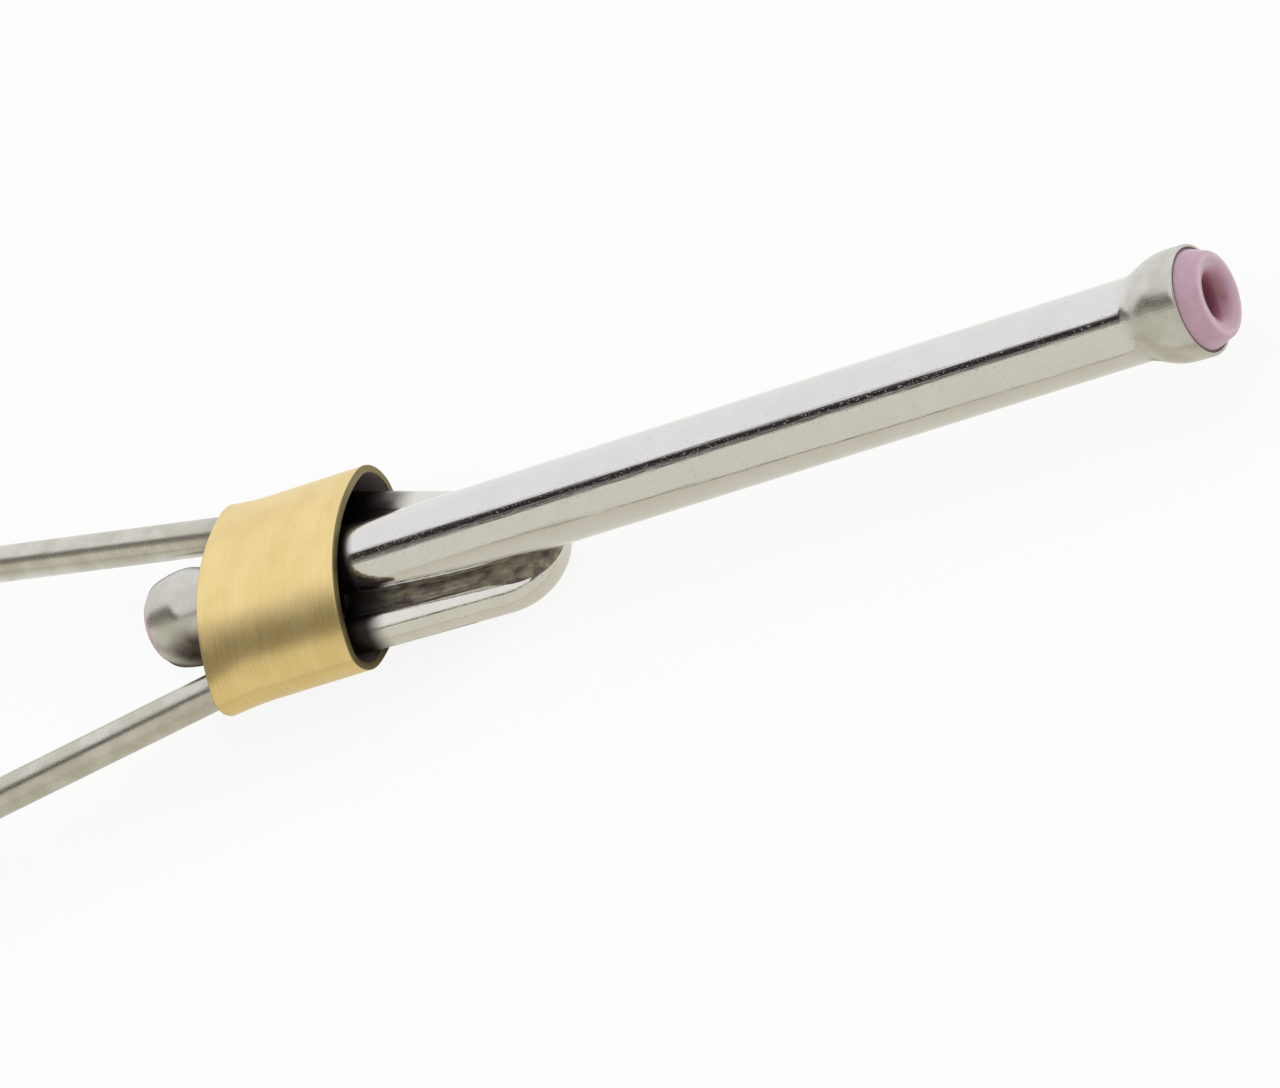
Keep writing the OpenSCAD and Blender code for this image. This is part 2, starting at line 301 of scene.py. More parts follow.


# %% [markdown]
# ## Polished stainless steel
# The tube and the wire are stainless steel, drawn through a die and then tumbled bright. Drawing
# leaves fine lines along the length, which comb the edge of a long reflection into streaks, and
# tumbling leaves pits a few hundredths of a millimetre wide. The lines are drawn 0.12 mm apart and
# the pits 0.1 mm wide, about twice their real size, or they would be smaller than a pixel.
# Polishing wheels don't reach everywhere: the swaged ends and the arms stay satin. Dark spots are
# painted where the metal would mirror the collar, the arms and the shade under them, and painted
# shade darkens the metal where it runs into the collar. So the finish takes a list of places where
# it turns satin, a list of painted dark spots and the two ends of the painted collar shade, all in
# millimetres on the piece itself. The painted spots and shade are also duller than the metal round
# them.

# %% Polished stainless steel
def steel(name, tint, satin_tint, satin, painted_dark_spots, painted_collar_shade):
    """Bright steel. satin holds pairs of X where polish ends and satin begins, the next list holds
    centres with their radius of painted dark spots, and the last one the X where the painted collar
    shade begins and where it is darkest, in front and behind."""
    material, tree, spot = new_finish(name)
    along = add(tree, "ShaderNodeSeparateXYZ", {0: spot}).outputs[0]
    lines = cloud(tree, stretched(tree, spot, (0.015, 1, 1)), 9.0, 3.0, 0.7)
    pit = ramp(tree, cloud(tree, spot, 12.0, 2.0), 0.64, 0.74)
    haze = cloud(tree, spot, 0.9, 3.0)
    cloudy = ramp(tree, haze, 0.36, 0.66)

    # satin comes in patches, and the polished part is never quite even either
    dull = greatest(tree, [ramp(tree, along, bright_x, satin_x, soft=True)
                           for bright_x, satin_x in satin])
    patches = maths(tree, "MULTIPLY", maths(tree, "MULTIPLY_ADD", cloudy, 0.5, 0.5), dull)
    worn = maths(tree, "MULTIPLY_ADD", cloudy, 0.14, patches, use_clamp=True)
    colour = mixed(tree, worn, tint, satin_tint)
    colour = mixed(tree, maths(tree, "MULTIPLY", pit, 0.35), colour, "#8d857a")

    # the painted dark spots (painted reflections and shade) are mottled, the painted collar shade is
    # solid
    spot_fades = []
    for centre, radius in painted_dark_spots:
        away = add(tree, "ShaderNodeVectorMath", {0: spot, 1: centre}, operation="DISTANCE")
        spot_fades.append(ramp(tree, away.outputs["Value"], radius, 0.25 * radius, soft=True))
    dark_spot_mask = maths(tree, "MULTIPLY", greatest(tree, spot_fades), ramp(tree, haze, 0.3, 0.62, 0.6, 1.0))
    colour = mixed(tree, dark_spot_mask, colour, "#4c3f3a")
    # painted shade: the metal goes near black where it runs into the collar
    collar_shade_mask = maths(tree, "MULTIPLY", *[ramp(tree, along, lit_x, shaded_x, soft=True)
                                      for lit_x, shaded_x in painted_collar_shade])
    colour = mixed(tree, collar_shade_mask, colour, "#37322f")

    # each of them also takes away some of the polish
    rough = maths(tree, "MULTIPLY_ADD", dull, 0.19, 0.045)
    rough = maths(tree, "MULTIPLY_ADD", cloudy, 0.04, rough)
    rough = maths(tree, "MULTIPLY_ADD", pit, 0.15, rough)
    rough = maths(tree, "MULTIPLY_ADD", maths(tree, "MAXIMUM", collar_shade_mask, dark_spot_mask), 0.3, rough)
    drawn = relief(tree, lines, 0.4, 0.01)
    dented = relief(tree, patches, 0.02, 0.02, below=drawn)
    sunk = relief(tree, pit, 0.25, 0.01, below=dented, invert=True)
    return finished(material, tree, {
        "Base Color": colour, "Metallic": 1.0, "Roughness": rough, "Normal": sunk})


# the tube's dark spots are painted reflections of the collar and arms on the rear flare and painted
# shade on the front flare and at the collar mouth; the collar shade is painted shade inside the
# collar
tube_steel = steel(
    "polished_drawn_stainless_tube", "#dedddb", "#c6c4bc",
    satin=[(front_rim - 3.2, front_rim - 2.0), (rear_rim + 3.4, rear_rim + 2.4)],
    painted_dark_spots=[((rear_rim + 1.6, -2.0, 0.1), 1.7), ((rear_rim + 1.8, -1.6, -1.2), 2.3),
            ((collar_front + 0.2, -1.5, -1.2), 2.2), ((front_rim - 2.2, -1.4, -0.6), 0.7)],
    painted_collar_shade=[(collar_front + 0.7, collar_front + 0.1), (collar_rear + 0.2, collar_rear + 1.0)])
# the wire's dark spots are a painted reflection of the brass behind the collar and painted shade at
# the collar's front mouth; its collar shade is painted shade too
wire_steel = steel(
    "polished_spring_steel_wire", "#dedcd6", "#c2bfb4",
    satin=[(collar_front - 1.0, collar_rear)],
    painted_dark_spots=[((collar_rear - 0.4, 3.6, -leg_drop - 0.6), 2.0),
            ((collar_front + 0.3, 3.2, -leg_drop), 1.8)],
    painted_collar_shade=[(collar_front + 1.3, collar_front + 0.3), (collar_rear + 0.5, collar_rear + 1.5)])

# %% [markdown]
# ## Brushed brass
# The collar is brass strip, brushed across with a fine abrasive, so its lines run round it. They
# are 0.07 mm wide. They blur a reflection far more across the lines than along them: a tangent
# that runs round the axis and is turned a quarter does that, and gives the satin glow.
# Freshly cut brass at the rims is darker and greener, and the inside is dark with heat and flux.

# %% Brushed brass, cut brass and heat-darkened brass
def brass(name, tint, deep, roughness, line_width, depth, metal=1.0):
    """Brass with lines that run round the X axis, line_width mm wide. depth is the strength of
    their relief, and a skin of soot or oxide makes metal less than 1."""
    material, tree, spot = new_finish(name)
    lines = cloud(tree, stretched(tree, spot, (1.0 / line_width, 0.3, 0.3)), 1.0, 2.0, 0.7)
    worn = ramp(tree, cloud(tree, spot, 0.6, 3.0), 0.35, 0.7)
    tone = maths(tree, "MULTIPLY", maths(tree, "ADD", lines, worn), 0.36)
    round_axis = add(tree, "ShaderNodeTangent", direction_type="RADIAL", axis="X")
    return finished(material, tree, {
        "Base Color": mixed(tree, tone, tint, deep), "Metallic": metal,
        "Roughness": maths(tree, "MULTIPLY_ADD", lines, 0.16, roughness - 0.08),
        "Anisotropic": 0.88, "Anisotropic Rotation": 0.25, "Tangent": round_axis.outputs[0],
        "Normal": relief(tree, lines, depth, 0.02)})


collar_brass = brass("brushed_brass_strip", "#f6dea2", "#dbbf7a", 0.29, 0.07, 0.3)
cut_brass = brass("cut_brass_edge", "#8c815b", "#6c6347", 0.36, 0.2, 0.3)
dark_brass = brass("heat_darkened_brass", "#b9adae", "#857b7c", 0.4, 0.3, 0.3, metal=0.3)
foot_brass = brass("turned_polished_brass", "#e6cf92", "#d3b770", 0.2, 0.12, 0.15)

# %% [markdown]
# ## Alumina ceramic
# The inserts are aluminium oxide, coloured pink by a trace of chromium, fired and then tumbled
# smooth so that they don't fray the thread. Light goes a few tenths of a millimetre into it, which
# softens its shading, so it gets a little subsurface scattering besides a gentle gloss. Light
# that bounces about in the mouth of the bore comes out a deeper rose, more than a few bounces in
# the renderer give, so the colour deepens towards the axis. Along the crest a paler band is
# painted, a painted highlight where its tight round catches the light.

# %% Pink alumina
material, tree, spot = new_finish("tumbled_pink_alumina")
from_axis = off_axis(tree, spot)
colour = mixed(tree, cloud(tree, spot, 2.2, 4.0), "#d1afc2", "#bc95ab")
colour = mixed(tree, ramp(tree, from_axis, 1.38, 0.78, soft=True), colour, "#a56b7e")
# painted highlight: a paler band along the crest's tight round
beside_crest = maths(tree, "ABSOLUTE", maths(tree, "SUBTRACT", from_axis, 1.6))
painted_crest_highlight = ramp(tree, beside_crest, 0.2, 0.0, high=0.4, soft=True)
colour = mixed(tree, painted_crest_highlight, colour, "#ecd8e2")
alumina = finished(material, tree, {
    "Base Color": colour, "Roughness": 0.27, "IOR": 1.76,
    "Subsurface Weight": 0.3, "Subsurface Radius": (0.9, 0.45, 0.5), "Subsurface Scale": 0.0004,
    "Normal": relief(tree, cloud(tree, spot, 14.0, 2.0), 0.12, 0.01)})

# %% [markdown]
# ## Braze and cement
# Braze is poured metal: it flows into the gap, wets both sides, and sets with a concave, mottled
# skin full of flux stains. Near the collar it is painted near black, painted shade, and so it is in
# the corner close under the tube, where shade falls. The cement round the inserts is only a brown
# hairline, and a smear of it stays on the steel rim beside it.

# %% Braze and cement
material, tree, spot = new_finish("flux_stained_braze")
along = add(tree, "ShaderNodeSeparateXYZ", {0: spot}).outputs[0]
flow = cloud(tree, stretched(tree, spot, (0.5, 1, 1)), 2.4, 4.0, 0.6)
colour = mixed(tree, ramp(tree, flow, 0.34, 0.66), "#625555", "#a39e8c")
# painted shade: the braze goes near black towards the collar and in the corner under the tube
braze_collar_shade = ramp(tree, along, collar_front + 3.4, collar_front + 0.2, soft=True)
braze_corner_shade = ramp(tree, off_axis(tree, spot), 2.2, 1.8, high=0.45, soft=True)
braze_metal = finished(material, tree, {
    "Base Color": mixed(tree, maths(tree, "MAXIMUM", braze_collar_shade, braze_corner_shade), colour, "#2a2624"),
    "Metallic": 0.9, "Roughness": ramp(tree, flow, 0.3, 0.7, 0.5, 0.3),
    "Normal": relief(tree, flow, 0.25, 0.05)})

material, tree, spot = new_finish("brown_cement")
colour = mixed(tree, cloud(tree, spot, 6.0, 3.0), "#64494c", "#8a6d70")
cement = finished(material, tree, {"Base Color": colour, "Roughness": 0.7})

# %% [markdown]
# ## The tube
# Both ends of the tube are swaged out over a mandrel, which leaves a soft S-shaped shoulder that
# is fullest near the rim, and at the rear a rim that turns in like a dome. A lathe outline gives
# all of it. The swaging also leaves shallow dents, which a small noise adds to the radius near the
# ends.

# %% Turn the tube
rim_edge, shoulder = 0.06, 2.85      # radius of a rim's outer edge, and length of a flare
dented_length, dent_depth, wave_depth = 3.2, 0.022, 0.003


def flare(rim, sign, full_r, turn_in, full_back, lag):
    """Outside of one end as (along, radius) points, from the rim to the plain tube. The flare is
    full_r wide at full_back mm behind the rim and turn_in less at the rim itself, and lag keeps
    the shoulder full for longer."""
    points = corner(rim - sign * rim_edge, full_r - turn_in - rim_edge, rim_edge,
                    0 if sign > 0 else 180, 90)
    for i in range(1, 13):
        back = rim_edge + (full_back - rim_edge) * i / 12
        points.append((rim - sign * back, full_r - turn_in * (1 - back / full_back) ** 2))
    for i in range(1, 29):
        share = i / 28
        points.append((rim - sign * (full_back + (shoulder - full_back) * share),
                       tube_r + (full_r - tube_r) * (1 + math.cos(math.pi * share ** lag)) / 2))
    return points


def inside(rim, sign, pocket_r):
    """Inside of one end, from the bore to the rim: bore, seat, pocket and a small inner edge."""
    steps = ((4.2, bore_r), (1.85, bore_r), (1.8, bore_r), (1.2, pocket_r), (1.15, pocket_r),
             (0.6, pocket_r), (0.04, pocket_r), (0.005, pocket_r + 0.02))
    return [(rim - sign * back, radius) for back, radius in steps]


def swaged(point):
    """Dents near the ends, and far smaller waves along the tube."""
    near_end = max(0.0, 1 - min(front_rim - point.x, point.x - rear_rim) / dented_length)
    dents = noise.noise(Vector((point.x * 0.9, point.y * 0.8, point.z * 0.8)))
    waves = noise.noise(Vector((point.x * 0.25 + 7, point.y * 0.5, point.z * 0.5)))
    return dent_depth * near_end * dents + wave_depth * waves


front_r, rear_r, front_pocket_r, rear_pocket_r = 2.3, 2.1, 2.15, 1.8
rear_end = rear_rim - 0.15           # swaging has left the rear rim a little long
plain = front_rim - rear_rim - 2 * shoulder
outside = flare(front_rim, 1, front_r, 0.02, 0.25, 1.8)
outside += [(front_rim - shoulder - plain * i / 60, tube_r) for i in range(1, 60)]
outside += flare(rear_end, -1, rear_r, 0.2, 1.4, 1.0)[::-1]
hollow = inside(rear_end, -1, rear_pocket_r)[::-1] + inside(front_rim, 1, front_pocket_r)
tube = turned("tube", outside + hollow, closed=True, around=160, dent=swaged)
tube.data.materials.append(tube_steel)
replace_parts(tube, "barrel_tube")
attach(tube, "barrel")

# %% [markdown]
# ## The ceramic inserts
# An insert has a shank in the tube, a flange in the flare and a lip. The lip slopes in to a crest
# with a small round, and from there one wide arc funnels down into the bore, so the thread never
# bends over an edge. Lathe outlines again, with many points on the arcs, because this is the piece
# that the eye goes to.

# %% Turn the inserts
def ceramic_insert(name, rim, sign, pocket_r, crest_r, lip_out):
    """An insert at one rim. sign is 1 at the front and -1 at the rear, and lip_out is how far
    the lip stands out of the rim."""
    flange_r, hole_r, rounding = pocket_r - 0.07, 0.75, 0.22
    inner = crest_r - hole_r
    lean = Vector((lip_out - rounding, crest_r - flange_r))
    slope = math.degrees(math.atan2(lean.y, lean.x) + math.asin(rounding / lean.length))
    shank_end, shank_r = -3.38, bore_r - 0.02
    points = [(shank_end, hole_r + 0.3), (shank_end, shank_r), (-1.8, shank_r), (-1.18, flange_r),
              (-0.06, flange_r), (-0.03, flange_r - 0.005), (0.0, flange_r - 0.02)]
    points += corner(lip_out - rounding, crest_r, rounding, 90 + slope, 0, 10)
    points += corner(lip_out - inner, crest_r, inner, 0, -90, 20)[1:]
    points += [(-1.0, hole_r), (-2.2, hole_r), (-3.05, hole_r)]
    piece = turned(name, [(rim + sign * x, r) for x, r in points], closed=True)
    piece.data.materials.append(alumina)
    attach(piece, "barrel")
    return piece


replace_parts(ceramic_insert("insert_front", front_rim, 1, front_pocket_r, 1.6, 0.85), "front_insert")
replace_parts(ceramic_insert("insert_rear", rear_end, -1, rear_pocket_r, 1.45, 0.36), "rear_insert")

for name, rim, sign, pocket_r in (("cement_front", front_rim, 1, front_pocket_r),
                                  ("cement_rear", rear_end, -1, rear_pocket_r)):
    inner_r, outer_r = pocket_r - 0.072, pocket_r + 0.01
    film = [(-0.5, inner_r), (-0.5, outer_r), (-0.035, outer_r), (-0.02, (inner_r + outer_r) / 2),
            (-0.035, inner_r)]
    piece = turned(name, [(rim + sign * x, r) for x, r in film], closed=True)
    piece.data.materials.append(cement)
    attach(piece, "barrel")

# %% [markdown]
# ## The spring wire
# One length of wire makes the bow, both legs and both arms. Its path is a chain of corners, each
# rounded with its own bend radius, and a circle is carried along it. The bow doesn't move, but the
# arms bend, so each arm is a mesh of its own that starts inside the collar, where its end is out
# of sight.
# Hand-bent wire isn't quite even: the left leg stands 0.15 mm further out than the right one.

# %% Draw the bow and its legs
bow_r, knee_r = 2.1, 3.0                 # bend radii of the wire's middle line
bow_reach, bow_ahead = 10.1, 17.75       # from the knees, and from the tube's rear rim, to the tip
leg_slope = math.radians(8.5)            # between the near leg and the middle of the bow
tilt = math.asin((tube_r + wire_r + 0.05 - leg_drop) / bow_reach)
knee_x = rear_rim + bow_ahead - bow_reach * math.cos(tilt)
knee_y = (bow_r + (bow_reach - bow_r) * math.sin(leg_slope)) / math.cos(leg_slope)
far_y = knee_y + 0.15
bow_centre = bow_reach - bow_r
far_slope = math.atan2(far_y, bow_centre) - math.asin(bow_r / math.hypot(far_y, bow_centre))
apex = (knee_y + far_y) / (math.tan(leg_slope) + math.tan(far_slope))
flex = Vector((collar_rear - 0.12, 3.67, -leg_drop))


def dipped(along, aside):
    """A point on the plane that dips from the knees to the bow."""
    return Vector((knee_x + along * math.cos(tilt), aside, -leg_drop - along * math.sin(tilt)))


def mirrored(point):
    """The same point on the other side of the tube."""
    return Vector((point[0], -point[1], point[2]))


knee = dipped(0, knee_y)
split = knee.lerp(flex, 0.6)             # where the bow's mesh and an arm's mesh meet
bow_path = spaced(bent([split, dipped(0, far_y), dipped(apex, apex * math.tan(leg_slope) - knee_y),
                        mirrored(knee), mirrored(split)], [knee_r, bow_r, knee_r], step=0.12), 0.5)
print(f"tip of the bow at {max(p.x for p in bow_path) + wire_r:.2f} mm")
bow = drawn_wire("spring_bow", bow_path)
bow.data.materials.append(wire_steel)
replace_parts(bow, "wire_bow")
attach(bow, "barrel")

# %% Draw the arms
def heading(degrees):
    """The way an arm runs, turned outward from straight back."""
    return Vector((-math.cos(math.radians(degrees)), math.sin(math.radians(degrees)), 0))


splay, spread = 10.5, 17                 # degrees outward, before and after the long sweep
splay_r, sweep_r, hook_r = 6, 80, 2.4    # bend radii
ball_r = 3.1                             # radius of the ball foot that the arm ends in
splay_start = Vector((collar_rear + 1.6, 3.57, -leg_drop))
sweep_corner = splay_start + 18.5 * heading(splay)
sweep_cut = sweep_r * math.tan(math.radians(spread - splay) / 2)
sweep_end = flex + 14 * heading(splay) + sweep_cut * (heading(splay) + heading(spread))
hook_cut = hook_r * math.tan(math.radians(90 + spread) / 2)
hook_corner = sweep_end + (25 + hook_cut) * heading(spread)
foot_low, foot_high = reach("left_foot")
foot_centre = Vector(((foot_low.x + foot_high.x) / 2, foot_low.y + ball_r, -leg_drop))
arm_corners = [split, splay_start, sweep_corner, hook_corner, foot_centre + Vector((0, 0.3, 0))]
arm_path = spaced(bent(arm_corners, [splay_r, sweep_r, hook_r], step=0.3), 0.8)
for side, node in ((1, "left_arm"), (-1, "right_arm")):
    path = [Vector((p.x, side * p.y, p.z)) for p in arm_path]
    arm = drawn_wire("spring_" + node, path)
    arm.data.materials.append(wire_steel)
    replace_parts(arm, node)
    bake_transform(arm)
print(f"arm length {sum((b - a).length for a, b in zip(arm_path, arm_path[1:])):.1f} mm")

# %% [markdown]
# ## The braze
# Where the wire lies against the tube, braze fills the wedge between them. Its section is a bridge
# with two hollow sides. The bridge is built at every point of the wire's path: one row of points
# on the tube, one on the wire, and curves between. Their widths shrink towards the bow, and round
# its tip the braze has run further up the wire.

# %% Pour the braze
def on_tube(point, sink=0.0):
    """The nearest point of the tube's surface, sunk a little into the steel."""
    out = Vector((0, point.y, point.z)).normalized() * (tube_r - sink)
    return Vector((point.x, out.y, out.z))


def hollow_curve(a, control, b, count=9):
    """Points of a smooth concave curve from a to b that is pulled towards control."""
    steps = [i / count for i in range(count + 1)]
    return [a * (1 - t) ** 2 + control * 2 * t * (1 - t) + b * t * t for t in steps]


tip_x = max(p.x for p in bow_path)
tip_length = 2.8                 # so near the bow's tip the braze has run further up the wire
narrow, widening = 1.2, 6.0      # it is narrow for this far behind the tip, then widens over this


def bridge(path, i, size):
    """One section of braze at point i of the wire's path. size is 1 at the collar, 0 at the tip."""
    point = path[i]
    way = (path[i + 1] - path[i - 1]).normalized()
    out = Vector((0, point.y, point.z)).normalized()
    out = (out - out.dot(way) * way).normalized()
    aside = way.cross(out)
    touch = on_tube(point)
    at_tip = max(0.0, 1 - (tip_x - point.x) / tip_length)
    middle = (touch + point - wire_r * out) / 2
    outer_tube = on_tube(touch + aside * (0.35 + 0.65 * size + 0.35 * at_tip))
    turn = math.radians(36 + 6 * size + 38 * at_tip)
    outer_wire = point + (wire_r + 0.01) * (math.sin(turn) * aside - math.cos(turn) * out)
    inner_tube = on_tube(touch - aside * (0.25 + 0.2 * size))
    inner_wire = point + wire_r * (-math.sin(0.8) * aside - math.cos(0.8) * out)
    ring = hollow_curve(outer_tube, middle + aside * (0.1 + 0.22 * size + 0.7 * at_tip), outer_wire)
    ring += hollow_curve(point + 0.7 * (outer_wire - point), point - 0.6 * out,
                         point + 0.7 * (inner_wire - point), 3)
    ring += hollow_curve(inner_wire, middle - aside * 0.1, inner_tube, 5)
    ring += [on_tube(inner_tube, 0.12), on_tube(touch, 0.12), on_tube(outer_tube, 0.12)]
    return [p + 0.03 * noise.noise(p * 1.6) * aside for p in ring]


stations = [i for i, p in enumerate(bow_path)
            if 0 < i < len(bow_path) - 1 and p.x > collar_front - 1.2]
fullness = [min(1.0, max(0.0, (tip_x - bow_path[i].x - narrow) / widening)) for i in stations]
braze = skin("braze", [bridge(bow_path, i, size) for i, size in zip(stations, fullness)])
braze.data.materials.append(braze_metal)
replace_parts(braze, "braze_left", "braze_right", "braze_bow")
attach(braze, "barrel")

# %% [markdown]
# ## The collar
# The collar is a short length of brass tube pressed oval: two broad arcs and two tight ends. The
# press came down harder on the right side of the top, so its arc is rounder there and its corner
# tighter, which the bent reflection shows. Sprung metal has no sudden change of bend, so the
# outline is smoothed over about 0.3 mm where two arcs meet. The inside moves each point along its
# normal, so the wall stays even. The rims are rounded, and the rear mouth is opened a little to
# slip over the wires. Three finishes share the mesh: brushed outside, cut rims and a dark inside.

# %% Press the collar
half_w, half_h, end_r, wall = 4.9, 2.475, 1.62, 0.33      # end_r is the tight ends' radius
end_y = half_w - end_r
broad_r = (end_y ** 2 + half_h ** 2 - end_r ** 2) / (2 * (half_h - end_r))
meet = math.degrees(math.asin(end_y / (broad_r - end_r)))
press_r, press_turn = 6.7, 36       # radius and degrees of the arc that is pressed rounder
lean = math.radians(press_turn)
press_end_r = (((half_h - press_r) * math.cos(lean) + press_r - half_w * math.sin(lean))
               / (1 - math.sin(lean)))
arcs = [(end_y, 0, end_r, meet - 90, 90 - meet),
        (0, half_h - broad_r, broad_r, 90 - meet, 90),
        (0, half_h - press_r, press_r, 90, 90 + press_turn),
        (press_end_r - half_w, 0, press_end_r, 90 + press_turn, 180),
        (-end_y, 0, end_r, 180, 270 - meet),
        (0, broad_r - half_h, broad_r, 270 - meet, 270 + meet)]
print(f"collar arcs of {broad_r:.2f}, {end_r:.2f}, {press_r:.2f} and {press_end_r:.2f} mm")

point_gap, smoothings = 0.1, 20
outline = []
for centre_y, centre_z, radius, start, end in arcs:
    count = round(radius * math.radians(end - start) / point_gap)
    for i in range(count):
        a = math.radians(start + (end - start) * i / count)
        outline.append(Vector((centre_y + radius * math.cos(a), centre_z + radius * math.sin(a))))
for _ in range(smoothings):
    outline = [(outline[i - 1] + 2 * p + outline[(i + 1) % len(outline)]) / 4
               for i, p in enumerate(outline)]
print(f"{len(outline)} points round the collar")


mouth_open, mouth_length = 0.25, 2.4      # how far the rear mouth is opened, and over what length


def oval(x, inset):
    """One ring of the collar, moved inward by inset. The tight ends stand out at the rear mouth."""
    opened = mouth_open * max(0.0, 1 - (x - collar_rear) / mouth_length) ** 2
    ring = []
    for i, point in enumerate(outline):
        on = (outline[(i + 1) % len(outline)] - outline[i - 1]).normalized()
        y, z = point.x - inset * on.y, point.y + inset * on.x
        ring.append((x, y + opened * (y / half_w) ** 3, z - leg_drop))
    return ring


edge = 0.05                         # radius of the worn edges of both rims
flat = collar_front - collar_rear - 2 * edge
section = [(collar_front - edge - flat * i / 40, 0, 0) for i in range(41)]
section += [(x, inset, 1) for x, inset in
            corner(collar_rear + edge, edge, edge, 270, 180, 5)[1:]
            + corner(collar_rear + edge, wall - edge, edge, 180, 90, 5)]
section += [(collar_rear + edge + flat * i / 20, wall, 2) for i in range(1, 20)]
section += [(x, inset, 1) for x, inset in
            corner(collar_front - edge, wall - edge, edge, 90, 0, 5)
            + corner(collar_front - edge, edge, edge, 0, -90, 5)[:-1]]
kinds = [kind for _, _, kind in section]
collar = skin("collar_band", [oval(x, inset) for x, inset, _ in section], closed=True,
              finish_of=lambda step: kinds[step])
for finish in (collar_brass, cut_brass, dark_brass):
    collar.data.materials.append(finish)
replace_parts(collar, "collar")
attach(collar, "collar")

# %% [markdown]
# ## The feet
# The feet are brass balls, turned from bar with a short boss that the wire is pressed into. The
# lathe leaves a small flat where the ball was cut from the bar, and a soft fillet at the boss.

# %% Turn the feet
boss_r, boss_end, flat_r = 1.45, 3.6, 0.4
first = math.degrees(math.asin(flat_r / ball_r))
neck = math.degrees(math.asin((boss_r + 0.12) / ball_r))
ball = [(-ball_r * math.cos(math.radians(first)), r) for r in (0.02, 0.39)]
ball += [(-ball_r * math.cos(math.radians(a)), ball_r * math.sin(math.radians(a)))
         for a in [first + (180 - neck - first) * i / 60 for i in range(61)]]
last = ball[-1][0]
ball += [(last + 0.05, boss_r + 0.05), (last + 0.14, boss_r + 0.01), (last + 0.22, boss_r)]
ball += corner(boss_end - 0.12, boss_r - 0.12, 0.12, 90, 0, 5)
ball += [(boss_end, 0.9), (boss_end - 0.04, 0.82), (boss_end - 0.3, 0.81), (boss_end - 0.3, 0.02)]
for side, node in ((1, "left_foot"), (-1, "right_foot")):
    place = Matrix.Translation((foot_centre.x, side * foot_centre.y, foot_centre.z))
    place = place @ Matrix.Rotation(math.radians(90 * side), 4, "Z")
    foot = turned("ball_" + node, ball, place=place)
    foot.data.materials.append(foot_brass)
    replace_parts(foot, node)
    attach(foot, node.replace("foot", "arm"))

# %% [markdown]
# ## The studio
# Bright metal shows its surroundings more than itself, so here the surroundings are part of the
# finish. The tool lies on a white table in a light tent. The tent is a cool white above and behind,
# and a warmer, dimmer white towards the viewer, where the table's front edge and the room begin.
# All of it is soft, with one large dark thing in it: the opening of the tent, a long wedge that
# starts as a slit overhead and widens away behind the spool. It draws the dark line along every
# bar. The table is white, and mostly glows by itself, so that a shadow on it stays faint.

# %% Floor
def flat_card(name, points, faces):
    """A stage card from points in mm."""
    mesh = bpy.data.meshes.new(name)
    mesh.from_pydata([Vector(point) * MM for point in points], [], faces)
    card = bpy.data.objects.new(name, mesh)
    bpy.context.collection.objects.link(card)
    return card


ground = cad_box[0][2] / MM - 0.001
floor = flat_card("floor", [(-2500, -2500, ground), (2500, -2500, ground), (2500, 2500, ground),
                            (-2500, 2500, ground)], [(0, 1, 2, 3)])
material, tree, spot = new_finish("white_table")
ray = add(tree, "ShaderNodeLightPath").outputs
across = add(tree, "ShaderNodeSeparateXYZ", {0: spot}).outputs[1]
shown = mixed(tree, ramp(tree, across, -3.0, 6.0), "#e4e1d6", "#fdfdfc")
colour = mixed(tree, ray["Is Glossy Ray"], "#ffffff", shown)
seen = maths(tree, "MAXIMUM", ray["Is Camera Ray"], ray["Is Transmission Ray"])
own_glow = maths(tree, "MAXIMUM", maths(tree, "MULTIPLY", seen, 0.88), ray["Is Glossy Ray"])
matt = add(tree, "ShaderNodeBsdfDiffuse", {"Color": colour})
glow = add(tree, "ShaderNodeEmission", {"Color": colour, "Strength": 1.0})
table = add(tree, "ShaderNodeMixShader", {0: own_glow, 1: matt.outputs[0], 2: glow.outputs[0]})
add(tree, "ShaderNodeOutputMaterial", {"Surface": table.outputs[0]})
floor.data.materials.append(material)
print(f"floor at {ground:.2f} mm")

# %% [markdown]
# ## What the metal reflects
# Some things stand or lie in the studio for the metal alone to see: a sheet of warmer paper under
# the tool, the paper's cut edge, the shadow between the tool and the table, the dark opening of
# the tent with a brown curtain at its far end, its twin at the front that a view from behind
# shows, and the brown seam between the two. Each is a strip of points with a number stored on
# them: where it is 0 the strip is clear, so a strip can fade out sideways and at its ends.

